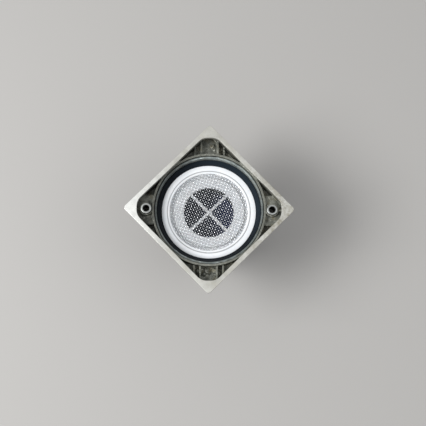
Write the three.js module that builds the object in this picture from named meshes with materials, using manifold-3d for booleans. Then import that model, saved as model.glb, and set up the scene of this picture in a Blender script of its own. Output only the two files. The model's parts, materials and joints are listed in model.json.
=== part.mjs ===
// A square-framed floor drain: a cast frame that turns on a telescopic riser, a drain body with a lip seal,
// and a lift-out trap insert with a mesh strainer on top and a sprung flap valve below.
// Millimetres, +Z up. The origin is the centre of the outlet's lower end, and the frame's sides lie along X and Y.
import * as THREE from "three";
import { mergeVertices } from "three/addons/utils/BufferGeometryUtils.js";
import Module from "manifold-3d";

const wasm = await Module();
wasm.setup();

// ---- Driving dimensions ----

const TOP = 150; // height of the frame's top face, which lies level with the finished floor
const SIDE = 150; // the frame's outer side
const OUTLET = 110; // outer diameter of the outlet spigot
const FLANGE = 118; // outer diameter of the trap insert's flange
const OPENING = 62.8; // diameter of the opening that the insert's cross divides
const SCREW_SPACING = 156; // between the two cover screws, along a diagonal of the frame
const GAP = 0.3; // between pieces that touch

const FACETS = 48; // of the large round pieces
const SMALL_FACETS = 16; // of screws, pins and sleeves
const QUARTER = Math.PI / 2;
const EIGHTH = Math.PI / 4;
const OVERRUN = 1; // how far a cutter runs past the face it opens

// Heights, each given as a depth below the frame's top face.
const below = (depth) => TOP - depth;

const FRAME = {
  half: SIDE / 2,
  corner: 4, // outer corner radius
  band: 5.5, // width of the rim along a side
  cornerReach: 89.4, // from the axis to the straight edge across each inner corner
  cornerEase: 7, // length that rounds each end of that edge
  rimFoot: below(6),
  wallInset: 2, // the walls stand this far inside the rim's outer edge
  floorTop: below(21),
  foot: below(25),
  bore: 68.2, // radius of the round opening that takes the riser's rim
  collarOuter: 70.7, // of the collar that stands round the bore
  collarTop: below(7),
};

const CORNERS = {
  ribOffset: 18, // of the outer ribs, from the frame's diagonal
  slotOffset: 10.5, // of the inner ribs, in the corners with no screw
  ribWidth: 2.2,
  ribTop: below(13),
  slotRibTop: below(11),
  padTop: below(12.5),
  ringClearance: 70, // ribs, pads and webs stay outside this radius
  bossRadius: 8.2,
  bossTop: below(7),
  webTop: below(9),
};

const SLEEVE = { outer: 6.5, inner: 3.9, top: below(4), foot: below(22.7) };

const RISER = {
  rimTop: below(10),
  rimInner: 65.1,
  rimOuter: 67.8,
  edge: 0.6, // chamfer of the rim's edges
  shoulderRadius: 73,
  shoulderTop: below(27),
  shoulderFoot: below(31),
  coneRadius: 56,
  coneFoot: below(37),
  ledge: below(31.5),
  tubeInner: 48.5,
  tubeOuter: 52,
  tubeFoot: below(88),
};

const GASKET = { inner: 69.8, outer: 72.6 };

const BODY = {
  flangeRadius: 68,
  flangeTop: below(42.6),
  flangeFoot: below(50),
  sealSeat: below(48.3),
  sealRadius: 57,
  socketInner: 53.5,
  socketOuter: 59,
  socketFoot: below(92),
  taper: 8, // height of the taper between the socket and the spigot
  spigotInner: 51.5,
  spigotOuter: OUTLET / 2,
  spigotChamfer: 2.5,
  gussetWidth: 5,
  gussetFoot: below(74),
  gussetReach: 66.5,
};

const RETAINER = { inner: 52.6, outer: 67, edge: 1.6, top: below(37.3), foot: below(42.3) };

const SCREW = {
  circle: 61.5, // radius of the circle that the four screws stand on
  head: 4.6,
  shank: 2.5,
  top: below(37.9),
  coneFoot: below(40.4),
  foot: below(52),
};

const PLUG = {
  height: below(75),
  bossRadius: 11,
  bossReach: 66.5,
  bore: 6.6,
  shank: 6.2,
  tip: 56,
  across: 8.5, // half the hexagon's width across flats
  headFoot: 66.9,
  headTop: 72.5,
};

const INSERT = {
  flange: FLANGE / 2,
  flangeTop: below(25.4),
  flangeFoot: below(28.4),
  recess: 52.4, // radius of the recess that takes the strainer
  seat: below(29.6),
  plateTop: below(30.9), // at the opening; the plate rises from there to its edge
  plateEdgeTop: below(28.8),
  plateFoot: below(34),
  plateEdge: 44.6,
  grooveOuter: 47,
  grooveFloor: below(32.4),
  opening: OPENING / 2,
  barWidth: 3.4,
  barFoot: below(34.8),
  hubRadius: 52.8,
  hubFoot: below(31.1),
  skirtOuter: 47.9,
  skirtInner: 45,
  skirtFoot: below(38),
};

const TUBE = { outer: 44.6, inner: 42, top: below(34.4), foot: below(62) };

const RING = { // the rubber ring that seals the insert in the riser
  inner: 53.2,
  foot: below(31.2),
  grip: 59.4, // radius of the wall beside the flange's edge
  gripFoot: below(28.7),
  gripTop: below(25.2),
  baseRadius: 62.8,
  baseTop: below(27),
  lipRadius: 64.8,
  lipFoot: below(20),
  lipTop: below(18.5),
  lipWidth: 0.9,
};

const SEAT = {
  bore: 33.5,
  throat: 36,
  outer: 47.2,
  top: below(57),
  ledge: below(62.3),
  throatFoot: below(64.5),
  foot: below(68),
};

const HINGE = {
  x: 40.5,
  z: below(71.5),
  pinRadius: 1,
  pinLength: 30,
  bore: 1.35,
  earWidth: 3,
  earInner: 6.3, // from the middle of the hinge to each ear
  earHalf: 3.3,
  barrelRadius: 2.4,
  barrelHalf: 5.7,
  springInner: 1.4,
  springOuter: 2.6,
  springStart: 9.7,
  springEnd: 14.2,
};

const FLAP = {
  plateRadius: 35.5,
  plateTop: below(70.2),
  plateFoot: below(72.6),
  sealRadius: 34.8,
  sealTop: below(68.3),
  sealFoot: below(69.9),
  armHalf: 5.2,
  armTop: below(70.4),
  hole: 1.7,
};

const RIVET = {
  head: 3.2,
  shank: 1.4,
  foot: below(74),
  lowerHeadTop: below(72.9),
  upperHeadFoot: below(68),
  top: below(66.9),
};

const STRAINER = {
  inner: 49,
  outer: 52.1,
  top: below(25.2),
  bevel: 1.2, // of the lip's inner edge
  lipFoot: below(26.4),
  skirtInner: 51.4,
  foot: below(29.3),
  meshRadius: 51.1,
  meshTop: below(26.7),
  meshFoot: below(27.3),
  clampInner: 48.8,
  clampTop: below(27.6),
};

// ---- Materials ----

const finish = (color, roughness, metalness) =>
  new THREE.MeshStandardMaterial({ color, roughness, metalness });

const nickelBronze = () => finish(0x8f8d80, 0.45, 0.9);
const coatedIron = () => finish(0x2f3336, 0.65, 0.4);
const zincSteel = () => finish(0xb9bbbd, 0.35, 1);
const brass = () => finish(0xb08d4a, 0.4, 1);
const navyRubber = () => finish(0x12181f, 0.6, 0);
const whitePlastic = () => finish(0xe9ecee, 0.35, 0);
const steelMesh = () => finish(0xc9ccce, 0.35, 0.9);
const riserMetal = () => finish(0x5d6563, 0.5, 0.8);

// ---- Solids ----

// A closed geometry as a manifold solid that faces outwards.
function solid(geometry) {
  const bare = new THREE.BufferGeometry();
  bare.setAttribute("position", geometry.getAttribute("position").clone());
  bare.setIndex(geometry.getIndex());
  const merged = mergeVertices(bare, 1e-4);
  const index = merged.getIndex().array;
  const triangles = [];
  for (let i = 0; i < index.length; i += 3) {
    const [a, b, c] = [index[i], index[i + 1], index[i + 2]];
    if (a !== b && b !== c && a !== c) triangles.push(a, b, c);
  }
  const made = manifold(merged.getAttribute("position").array, triangles);
  if (made.volume() > 0) return made;
  return manifold(merged.getAttribute("position").array, triangles.reverse());
}

function manifold(positions, triangles) {
  const vertProperties = new Float32Array(positions);
  const triVerts = new Uint32Array(triangles);
  return new wasm.Manifold(new wasm.Mesh({ numProp: 3, vertProperties, triVerts }));
}

function geometryOf(made) {
  const mesh = made.getMesh();
  const geometry = new THREE.BufferGeometry();
  geometry.setAttribute("position", new THREE.BufferAttribute(mesh.vertProperties, 3));
  geometry.setIndex(new THREE.BufferAttribute(mesh.triVerts, 1));
  geometry.computeVertexNormals();
  return geometry;
}

const join = (first, ...others) => others.reduce((sum, other) => sum.add(other), first);
const cut = (first, ...others) => others.reduce((rest, other) => rest.subtract(other), first);

// Turns a closed profile of [radius, height] points about Z.
function turned(profile, facets = FACETS) {
  const points = profile.map(([radius, height]) => new THREE.Vector2(radius, height));
  const onAxis = profile[0][0] === 0 && profile[profile.length - 1][0] === 0;
  if (!onAxis) points.push(points[0].clone());
  return solid(new THREE.LatheGeometry(points, facets).rotateX(QUARTER));
}

// A ring, or with an inner radius of 0 a disc, between two heights.
function ring(inner, outer, low, high, facets = FACETS) {
  return turned([[inner, low], [outer, low], [outer, high], [inner, high]], facets);
}

// An outline in the XY plane, extruded between two heights.
function prism(shape, low, high) {
  const geometry = new THREE.ExtrudeGeometry(shape, {
    depth: high - low,
    bevelEnabled: false,
    curveSegments: 4,
  });
  return solid(geometry.translate(0, 0, low));
}

// A box between two corners, turned about Z by an angle.
function block([x0, y0, z0], [x1, y1, z1], angle = 0) {
  const box = new THREE.BoxGeometry(x1 - x0, y1 - y0, z1 - z0);
  box.translate((x0 + x1) / 2, (y0 + y1) / 2, (z0 + z1) / 2);
  return solid(box.rotateZ(angle));
}

// A rod along Y, centred on x and z.
function rodAlongY(radius, start, end, x, z, facets = SMALL_FACETS) {
  const rod = new THREE.CylinderGeometry(radius, radius, end - start, facets);
  return solid(rod.translate(x, (start + end) / 2, z));
}

// A path round a polygon whose corners are rounded by cutting each side short by its ease.
function easedPath(corners, ease, path = new THREE.Shape()) {
  corners.forEach((corner, i) => {
    const before = corners[(i + corners.length - 1) % corners.length];
    const after = corners[(i + 1) % corners.length];
    const start = corner.clone().add(before.clone().sub(corner).setLength(ease));
    const end = corner.clone().add(after.clone().sub(corner).setLength(ease));
    if (i === 0) path.moveTo(start.x, start.y);
    else path.lineTo(start.x, start.y);
    path.quadraticCurveTo(corner.x, corner.y, end.x, end.y);
  });
  path.closePath();
  return path;
}

function squareCorners(half) {
  const signs = [[1, 1], [-1, 1], [-1, -1], [1, -1]];
  return signs.map(([x, y]) => new THREE.Vector2(x * half, y * half));
}

// A square whose corners are cut straight across at a distance from the axis.
function cutSquareCorners(half, reach) {
  const short = reach * Math.SQRT2 - half;
  const one = [new THREE.Vector2(half, short), new THREE.Vector2(short, half)];
  const turns = [0, 1, 2, 3];
  const middle = new THREE.Vector2();
  return turns.flatMap((turn) => one.map((p) => p.clone().rotateAround(middle, turn * QUARTER)));
}

// ---- Frame ----

const innerHalf = FRAME.half - FRAME.band;
const wallHalf = FRAME.half - FRAME.wallInset;
const screwAngles = [EIGHTH, EIGHTH + Math.PI];
const slotAngles = [EIGHTH + QUARTER, EIGHTH - QUARTER];
const cornerAngles = [...screwAngles, ...slotAngles];
const cornerSpan = [CORNERS.ringClearance - OVERRUN, SIDE * Math.SQRT1_2];

// A strip along one diagonal, between two offsets from it, standing on the frame's floor.
function diagonalStrip(angle, from, to, top) {
  const [near, far] = cornerSpan;
  return block([near, from, FRAME.foot], [far, to, top], angle);
}

function ribPair(angle, offset, top) {
  const half = CORNERS.ribWidth / 2;
  return [offset, -offset].map((at) => diagonalStrip(angle, at - half, at + half, top));
}

function diagonalPoint(angle, distance) {
  return [Math.cos(angle) * distance, Math.sin(angle) * distance];
}

function rim() {
  const shape = easedPath(squareCorners(FRAME.half), FRAME.corner);
  const opening = cutSquareCorners(innerHalf, FRAME.cornerReach);
  shape.holes.push(easedPath(opening, FRAME.cornerEase, new THREE.Path()));
  return prism(shape, FRAME.rimFoot, TOP);
}

function screwBoss(angle) {
  const [x, y] = diagonalPoint(angle, SCREW_SPACING / 2);
  const boss = ring(0, CORNERS.bossRadius, FRAME.foot, CORNERS.bossTop, FACETS / 2);
  return boss.translate([x, y, 0]);
}

function sleeveWell(angle) {
  const [x, y] = diagonalPoint(angle, SCREW_SPACING / 2);
  const radius = SLEEVE.outer + GAP;
  const well = ring(0, radius, SLEEVE.foot - GAP, CORNERS.bossTop + OVERRUN, SMALL_FACETS);
  return well.translate([x, y, 0]);
}

function frameCasting() {
  const box = easedPath(squareCorners(wallHalf), FRAME.corner);
  const shell = prism(box, FRAME.foot, FRAME.rimFoot + OVERRUN);
  const inside = easedPath(squareCorners(innerHalf), FRAME.corner / 2);
  const hollow = prism(inside, FRAME.floorTop, FRAME.rimFoot + 2 * OVERRUN);
  const core = prism(inside, FRAME.foot, FRAME.rimFoot + 2 * OVERRUN);
  const ribs = cornerAngles.flatMap((a) => ribPair(a, CORNERS.ribOffset, CORNERS.ribTop));
  const slots = slotAngles.flatMap((a) => ribPair(a, CORNERS.slotOffset, CORNERS.slotRibTop));
  const padHalf = CORNERS.ribOffset;
  const pads = screwAngles.map((a) => diagonalStrip(a, -padHalf, padHalf, CORNERS.padTop));
  const webHalf = CORNERS.ribWidth / 2;
  const webs = screwAngles.map((a) => diagonalStrip(a, -webHalf, webHalf, CORNERS.webTop));
  const bosses = screwAngles.map(screwBoss);
  const fittings = join(...ribs, ...slots, ...pads, ...webs, ...bosses).intersect(core);
  const clear = ring(0, CORNERS.ringClearance, FRAME.floorTop, TOP + OVERRUN);
  const collar = ring(0, FRAME.collarOuter, FRAME.foot, FRAME.collarTop);
  const bore = ring(0, FRAME.bore, FRAME.foot - OVERRUN, FRAME.collarTop + OVERRUN);
  const hollowed = cut(shell, hollow);
  const fitted = join(hollowed, cut(fittings, clear), collar);
  return join(cut(fitted, bore, ...screwAngles.map(sleeveWell)), rim());
}

// ---- Riser and drain body ----

function riser() {
  const { rimInner, rimOuter, rimTop, edge } = RISER;
  return turned([
    [RISER.tubeInner, RISER.tubeFoot],
    [RISER.tubeOuter, RISER.tubeFoot],
    [RISER.tubeOuter, RISER.coneFoot],
    [RISER.coneRadius, RISER.coneFoot],
    [RISER.shoulderRadius, RISER.shoulderFoot],
    [RISER.shoulderRadius, RISER.shoulderTop],
    [rimOuter, RISER.shoulderTop],
    [rimOuter, rimTop - edge],
    [rimOuter - edge, rimTop],
    [rimInner + edge, rimTop],
    [rimInner, rimTop - edge],
    [rimInner, RISER.ledge],
    [RISER.tubeInner, RISER.ledge],
  ]);
}

const screwAt = (turn) => diagonalPoint(EIGHTH + turn * QUARTER, SCREW.circle);

// The countersunk screw's outline, grown all round by a clearance.
function screwSolid(clearance) {
  const head = SCREW.head + clearance;
  const shank = SCREW.shank + clearance;
  const top = SCREW.top + clearance;
  return turned([
    [0, SCREW.foot - clearance],
    [shank, SCREW.foot - clearance],
    [shank, SCREW.coneFoot],
    [head, SCREW.top],
    [head, top + 2 * clearance],
    [0, top + 2 * clearance],
  ], SMALL_FACETS);
}

function screwHoles() {
  const hole = screwSolid(GAP);
  return [0, 1, 2, 3].map((turn) => hole.translate([...screwAt(turn), 0]));
}

function gusset(angle) {
  const { socketOuter, flangeFoot, gussetFoot, gussetReach, gussetWidth } = BODY;
  const inner = socketOuter - OVERRUN;
  const shape = new THREE.Shape();
  shape.moveTo(inner, gussetFoot);
  shape.lineTo(socketOuter + OVERRUN, gussetFoot);
  shape.lineTo(gussetReach, flangeFoot + OVERRUN);
  shape.lineTo(inner, flangeFoot + OVERRUN);
  const plate = new THREE.ExtrudeGeometry(shape, { depth: gussetWidth, bevelEnabled: false });
  plate.translate(0, 0, -gussetWidth / 2);
  return solid(plate.rotateX(QUARTER).rotateZ(angle));
}

function drainBody() {
  const { spigotOuter, spigotInner, spigotChamfer, socketOuter, socketInner, taper } = BODY;
  const shell = turned([
    [spigotInner, 0],
    [spigotOuter - spigotChamfer / 2, 0],
    [spigotOuter, spigotChamfer],
    [spigotOuter, BODY.socketFoot - taper],
    [socketOuter, BODY.socketFoot],
    [socketOuter, BODY.flangeFoot],
    [BODY.flangeRadius, BODY.flangeFoot],
    [BODY.flangeRadius, BODY.flangeTop],
    [BODY.sealRadius, BODY.flangeTop],
    [BODY.sealRadius, BODY.sealSeat],
    [socketInner, BODY.sealSeat],
    [socketInner, BODY.socketFoot],
    [spigotInner, BODY.socketFoot - (socketInner - spigotInner)],
  ]);
  const gussets = [0, Math.PI, -QUARTER].map(gusset);
  const inner = socketInner + OVERRUN;
  const boss = rodAlongY(PLUG.bossRadius, inner, PLUG.bossReach, 0, PLUG.height, FACETS / 2);
  const wayStart = socketInner - OVERRUN;
  const way = rodAlongY(PLUG.bore, wayStart, PLUG.bossReach + OVERRUN, 0, PLUG.height);
  const room = ring(0, socketInner, BODY.socketFoot, BODY.sealSeat);
  return cut(join(shell, ...gussets, cut(boss, room)), way, ...screwHoles());
}

function sealRetainer() {
  const { inner, outer, edge, top, foot } = RETAINER;
  const plate = turned([
    [inner, foot],
    [outer, foot],
    [outer, top - edge],
    [outer - edge, top],
    [inner, top],
  ]);
  return cut(plate, ...screwHoles());
}

function lipSeal() {
  const foot = BODY.sealSeat + GAP;
  const outer = BODY.sealRadius - GAP;
  const inner = RISER.tubeOuter + GAP;
  const lip = { depth: 3, setback: 0.6, rootSetback: 1.9 };
  return turned([
    [inner + lip.rootSetback, foot],
    [outer, foot],
    [outer, BODY.flangeTop],
    [inner + lip.setback, BODY.flangeTop],
    [inner, BODY.flangeTop - lip.depth],
  ]);
}

function frameGasket() {
  return ring(GASKET.inner, GASKET.outer, RISER.shoulderTop + GAP, FRAME.foot - GAP);
}

function primerPlug() {
  const shank = rodAlongY(PLUG.shank, PLUG.tip, PLUG.headFoot + OVERRUN, 0, 0);
  const cornerRadius = PLUG.across / Math.cos(Math.PI / 6);
  const head = rodAlongY(cornerRadius, PLUG.headFoot, PLUG.headTop, 0, 0, 6);
  return join(shank, head);
}

// ---- Trap insert ----

function insertTop() {
  const { flangeTop, flangeFoot, recess, seat, plateTop, plateFoot, plateEdge, opening } = INSERT;
  const { grooveOuter, grooveFloor } = INSERT;
  const dish = turned([
    [opening, plateFoot],
    [INSERT.skirtInner, plateFoot],
    [INSERT.skirtInner, INSERT.skirtFoot],
    [INSERT.skirtOuter, INSERT.skirtFoot],
    [INSERT.skirtOuter, INSERT.hubFoot],
    [INSERT.hubRadius, INSERT.hubFoot],
    [INSERT.hubRadius, flangeFoot],
    [INSERT.flange, flangeFoot],
    [INSERT.flange, flangeTop],
    [recess, flangeTop],
    [recess, seat],
    [grooveOuter, seat],
    [grooveOuter, grooveFloor],
    [plateEdge, grooveFloor],
    [plateEdge, INSERT.plateEdgeTop],
    [opening, plateTop],
  ]);
  const half = INSERT.barWidth / 2;
  const reach = opening + OVERRUN;
  const bar = (angle) => block([-reach, -half, INSERT.barFoot], [reach, half, plateTop], angle);
  return join(dish, bar(0), bar(QUARTER));
}

function insertTube() {
  return ring(TUBE.inner, TUBE.outer, TUBE.foot, TUBE.top);
}

function sealingRing() {
  return turned([
    [RING.inner, RING.foot],
    [RING.baseRadius, RING.foot],
    [RING.baseRadius, RING.baseTop],
    [RING.lipRadius, RING.lipFoot],
    [RING.lipRadius, RING.lipTop],
    [RING.lipRadius - RING.lipWidth, RING.lipTop],
    [RING.grip, RING.gripTop],
    [RING.grip, RING.gripFoot],
    [RING.inner, RING.gripFoot],
  ]);
}

function valveSeat() {
  const wall = TUBE.outer + GAP;
  const body = turned([
    [SEAT.bore, SEAT.foot],
    [SEAT.outer, SEAT.foot],
    [SEAT.outer, SEAT.top],
    [wall, SEAT.top],
    [wall, SEAT.ledge],
    [SEAT.throat, SEAT.ledge],
    [SEAT.bore, SEAT.throatFoot],
  ]);
  const { x, z, earInner, earWidth, earHalf } = HINGE;
  const earFrom = [x - earHalf, earInner, z - earHalf];
  const earTo = [x + earHalf, earInner + earWidth, SEAT.foot + OVERRUN];
  const ear = block(earFrom, earTo);
  const other = ear.translate([0, -2 * earInner - earWidth, 0]);
  const bore = rodAlongY(HINGE.bore, -HINGE.pinLength / 2, HINGE.pinLength / 2, x, z);
  return cut(join(body, ear, other), bore);
}

function returnSpring() {
  const { springOuter, springInner, springStart, springEnd } = HINGE;
  const coil = rodAlongY(springOuter, springStart, springEnd, 0, 0);
  const bore = rodAlongY(springInner, springStart - OVERRUN, springEnd + OVERRUN, 0, 0);
  return cut(coil, bore);
}

// ---- Flap ----

function flapPlate() {
  const disc = ring(FLAP.hole, FLAP.plateRadius, FLAP.plateFoot, FLAP.plateTop);
  const armStart = FLAP.plateRadius - 2 * OVERRUN;
  const arm = block([armStart, -FLAP.armHalf, FLAP.plateFoot], [HINGE.x, FLAP.armHalf, FLAP.armTop]);
  const barrel = rodAlongY(HINGE.barrelRadius, -HINGE.barrelHalf, HINGE.barrelHalf, HINGE.x, HINGE.z);
  const bore = rodAlongY(HINGE.bore, -HINGE.pinLength / 2, HINGE.pinLength / 2, HINGE.x, HINGE.z);
  return cut(join(disc, arm, barrel), bore);
}

function flapRivet() {
  return turned([
    [0, RIVET.foot],
    [RIVET.head, RIVET.foot],
    [RIVET.head, RIVET.lowerHeadTop],
    [RIVET.shank, RIVET.lowerHeadTop],
    [RIVET.shank, RIVET.upperHeadFoot],
    [RIVET.head, RIVET.upperHeadFoot],
    [RIVET.head, RIVET.top],
    [0, RIVET.top],
  ], SMALL_FACETS);
}

// ---- Strainer ----

function strainerRing() {
  const { inner, outer, top, bevel, lipFoot, skirtInner, foot } = STRAINER;
  return turned([
    [skirtInner, foot],
    [outer, foot],
    [outer, top],
    [inner + bevel, top],
    [inner, lipFoot + GAP],
    [inner, lipFoot],
    [skirtInner, lipFoot],
  ]);
}

// ---- Assembly ----

function part(name, made, material, position = [0, 0, 0]) {
  const mesh = new THREE.Mesh(geometryOf(made), material);
  mesh.name = name;
  mesh.position.set(...position);
  return mesh;
}

function assembly(...parts) {
  return new THREE.Group().add(...parts);
}

const sleeveHeight = SLEEVE.top - SLEEVE.foot;
const sleeve = ring(SLEEVE.inner, SLEEVE.outer, 0, sleeveHeight, SMALL_FACETS);
const sleevePlace = (angle) => [...diagonalPoint(angle, SCREW_SPACING / 2), SLEEVE.foot];
const frameParts = assembly(
  part("frame", frameCasting(), nickelBronze()),
  part("screw_sleeve_right", sleeve, zincSteel(), sleevePlace(screwAngles[0])),
  part("screw_sleeve_left", sleeve, zincSteel(), sleevePlace(screwAngles[1])),
);

const riserParts = assembly(
  part("riser", riser(), riserMetal()),
  part("frame_gasket", frameGasket(), navyRubber()),
);

const retainerScrew = screwSolid(0);
const retainerScrews = [0, 1, 2, 3].map((turn) =>
  part(`retainer_screw_${turn + 1}`, retainerScrew, zincSteel(), [...screwAt(turn), 0]),
);
const bodyParts = assembly(
  part("drain_body", drainBody(), coatedIron()),
  part("lip_seal", lipSeal(), navyRubber()),
  part("seal_retainer", sealRetainer(), coatedIron()),
  ...retainerScrews,
  part("primer_plug", primerPlug(), brass(), [0, 0, PLUG.height]),
);

const pinHalf = HINGE.pinLength / 2;
const hingePlace = [HINGE.x, 0, HINGE.z];
const insertParts = assembly(
  part("insert_top", insertTop(), whitePlastic()),
  part("insert_tube", insertTube(), whitePlastic()),
  part("sealing_ring", sealingRing(), navyRubber()),
  part("valve_seat", valveSeat(), whitePlastic()),
  part("hinge_pin", rodAlongY(HINGE.pinRadius, -pinHalf, pinHalf, 0, 0), zincSteel(), hingePlace),
  part("return_spring", returnSpring(), zincSteel(), hingePlace),
);

const flapParts = assembly(
  part("flap_plate", flapPlate(), whitePlastic()),
  part("flap_seal", ring(FLAP.hole, FLAP.sealRadius, FLAP.sealFoot, FLAP.sealTop), navyRubber()),
  part("flap_rivet", flapRivet(), zincSteel()),
);

const mesh = ring(0, STRAINER.meshRadius, STRAINER.meshFoot, STRAINER.meshTop);
const clamp = ring(STRAINER.clampInner, STRAINER.meshRadius, STRAINER.foot, STRAINER.clampTop);
const strainerParts = assembly(
  part("strainer_ring", strainerRing(), whitePlastic()),
  part("strainer_mesh", mesh, steelMesh()),
  part("mesh_clamp_ring", clamp, whitePlastic()),
);

export default assembly(bodyParts, riserParts, frameParts, insertParts, flapParts, strainerParts);
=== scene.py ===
"""The looks of a square-framed floor drain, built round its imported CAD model. Metres, +Z up."""
import math
import random

import bmesh
import bpy
from mathutils import Matrix, Vector, noise
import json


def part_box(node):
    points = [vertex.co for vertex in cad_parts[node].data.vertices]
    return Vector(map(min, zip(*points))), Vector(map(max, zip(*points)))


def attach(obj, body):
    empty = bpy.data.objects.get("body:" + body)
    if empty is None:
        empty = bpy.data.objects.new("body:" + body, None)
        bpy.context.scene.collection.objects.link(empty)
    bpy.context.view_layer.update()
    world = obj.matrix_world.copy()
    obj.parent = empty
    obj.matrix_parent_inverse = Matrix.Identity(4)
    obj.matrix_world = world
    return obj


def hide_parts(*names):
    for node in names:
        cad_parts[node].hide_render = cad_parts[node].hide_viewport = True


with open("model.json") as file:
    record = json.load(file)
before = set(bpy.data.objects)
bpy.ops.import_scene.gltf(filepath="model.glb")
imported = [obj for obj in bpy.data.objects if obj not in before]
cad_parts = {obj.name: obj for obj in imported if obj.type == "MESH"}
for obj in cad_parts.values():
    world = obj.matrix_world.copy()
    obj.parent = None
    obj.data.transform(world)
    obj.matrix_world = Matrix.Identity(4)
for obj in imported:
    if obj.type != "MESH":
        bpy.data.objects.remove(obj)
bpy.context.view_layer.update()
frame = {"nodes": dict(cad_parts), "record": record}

MM = 0.001
FACETS = 48  # of the CAD model's round pieces
ROUND = 192  # segments of the round pieces made here
CORNER_STEPS = 5  # of each rounded corner
SHARP = math.radians(38)  # edges that turn by more than this are shaded as sharp
ALONG_Y = Matrix.Rotation(-math.pi / 2, 4, "X")  # turns what stands along Z to lie along Y
SIDEWAYS = Matrix.Rotation(math.pi / 2, 4, "X")  # turns a plate in XY to stand in XZ
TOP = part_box("frame")[1][2]
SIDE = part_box("frame")[1][0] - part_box("frame")[0][0]
RIM_BAND = 5.5 * MM  # width of the rim along a side
INNER_HALF = SIDE / 2 - RIM_BAND  # from the middle to the inside of the frame's walls and rim
COLLAR_OUTER = 70.7 * MM  # radius of the collar round the frame's bore


# ---- Meshes ----

def add(name, mesh, body, node=None):
    """Links a mesh as a piece that rides on a body and stands for a CAD node."""
    for polygon in mesh.polygons:
        polygon.use_smooth = True
    mesh.set_sharp_from_angle(angle=SHARP)
    piece = bpy.data.objects.new(name, mesh)
    bpy.context.scene.collection.objects.link(piece)
    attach(piece, body)
    if node:
        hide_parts(node)
    return piece


def even_normals(piece):
    """Keeps flat faces flat between their rounded edges."""
    modifier = piece.modifiers.new("even_normals", "WEIGHTED_NORMAL")
    modifier.weight = 100
    modifier.keep_sharp = True
    return piece


def applied(mesh, *modifiers):
    """A copy of the mesh with modifiers applied, each given as (type, settings)."""
    carrier = bpy.data.objects.new("carrier", mesh)
    bpy.context.scene.collection.objects.link(carrier)
    for kind, settings in modifiers:
        modifier = carrier.modifiers.new(kind, kind)
        for key, value in settings.items():
            setattr(modifier, key, value)
    return baked(carrier)


def baked(carrier):
    """The carrier's evaluated mesh. The carrier is deleted."""
    shape = carrier.evaluated_get(bpy.context.evaluated_depsgraph_get())
    mesh = bpy.data.meshes.new_from_object(shape)
    bpy.data.objects.remove(carrier)
    return mesh


def merged(*meshes):
    """One mesh that holds all of these."""
    bm = bmesh.new()
    for mesh in meshes:
        bm.from_mesh(mesh)
    whole = bpy.data.meshes.new("merged")
    bm.to_mesh(whole)
    bm.free()
    return whole


def moved(mesh, matrix):
    mesh.transform(matrix)
    return mesh


def cad_mesh(node):
    """A copy of a CAD node's mesh with its shared corners merged."""
    bm = bmesh.new()
    bm.from_mesh(frame["nodes"][node].data)
    bmesh.ops.remove_doubles(bm, verts=bm.verts, dist=1e-6)
    mesh = bpy.data.meshes.new(node)
    bm.to_mesh(mesh)
    bm.free()
    return mesh


# ---- Turned pieces ----

def outline(node, facet=0, clear=0):
    """The edge of a turned CAD node, as (radius, height) points in order.

    The node is cut through one of its facets, and what lies nearer the axis than clear is left out.
    """
    angle = (2 * facet + 1) * math.pi / FACETS
    along = Vector((math.cos(angle), math.sin(angle), 0))
    across = Vector((-math.sin(angle), math.cos(angle), 0))
    bm = bmesh.new()
    bm.from_mesh(cad_mesh(node))
    everything = bm.verts[:] + bm.edges[:] + bm.faces[:]
    cut = bmesh.ops.bisect_plane(bm, geom=everything, plane_co=(0, 0, 0), plane_no=across)["geom_cut"]
    edges = [e for e in cut if isinstance(e, bmesh.types.BMEdge) and e.calc_length() > 1e-7]
    edges = [e for e in edges if all(along.dot(v.co) > clear - 1e-6 for v in e.verts)]
    points = walk(edges)
    grow = 1 / math.cos(math.pi / FACETS)
    profile = [(max(along.dot(p), 0) * grow, p.z) for p in points]
    bm.free()
    return without_straight_corners(profile)


def walk(edges):
    """The corners along a chain of edges, from its start, or round it if it is closed."""
    links = {}
    for edge in edges:
        a, b = edge.verts
        links.setdefault(a, []).append(b)
        links.setdefault(b, []).append(a)
    ends = [v for v, others in links.items() if len(others) == 1]
    here = ends[0] if ends else next(iter(links))
    seen = []
    while here is not None:
        seen.append(here)
        here = next((v for v in links[here] if v not in seen), None)
    return [v.co.copy() for v in seen]


def is_open(profile):
    """True if a profile starts and ends on the axis."""
    return profile[0][0] < 1e-6 and profile[-1][0] < 1e-6


def turn_at(before, corner, after):
    """The signed angle by which a path turns at a corner."""
    a = Vector(corner) - Vector(before)
    b = Vector(after) - Vector(corner)
    return a.angle_signed(b, 0)


def neighbours(profile, i):
    return profile[i - 1], profile[i], profile[(i + 1) % len(profile)]


def without_straight_corners(profile):
    keep = []
    for i, point in enumerate(profile):
        on_end = is_open(profile) and i in (0, len(profile) - 1)
        if on_end or abs(turn_at(*neighbours(profile, i))) > math.radians(1):
            keep.append(point)
    return keep


def rounded(profile, radius, steps=CORNER_STEPS):
    """The profile with its corners rounded, up to a radius that its shorter edges allow."""
    result = []
    for i, point in enumerate(profile):
        if is_open(profile) and i in (0, len(profile) - 1):
            result.append(point)
            continue
        before, corner, after = (Vector(p) for p in neighbours(profile, i))
        angle = abs(turn_at(before, corner, after))
        room = 0.42 * min((before - corner).length, (after - corner).length)
        reach = min(radius * math.tan(angle / 2), room)
        start = corner + (before - corner).normalized() * reach
        end = corner + (after - corner).normalized() * reach
        for step in range(steps + 1):
            t = step / steps
            bend = (1 - t) ** 2 * start + 2 * t * (1 - t) * corner + t * t * end
            result.append(tuple(bend))
    return result


def turned(profile, segments=ROUND):
    """A mesh made by turning a profile about Z."""
    return lofted([profile] * segments, closed=not is_open(profile))


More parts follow.
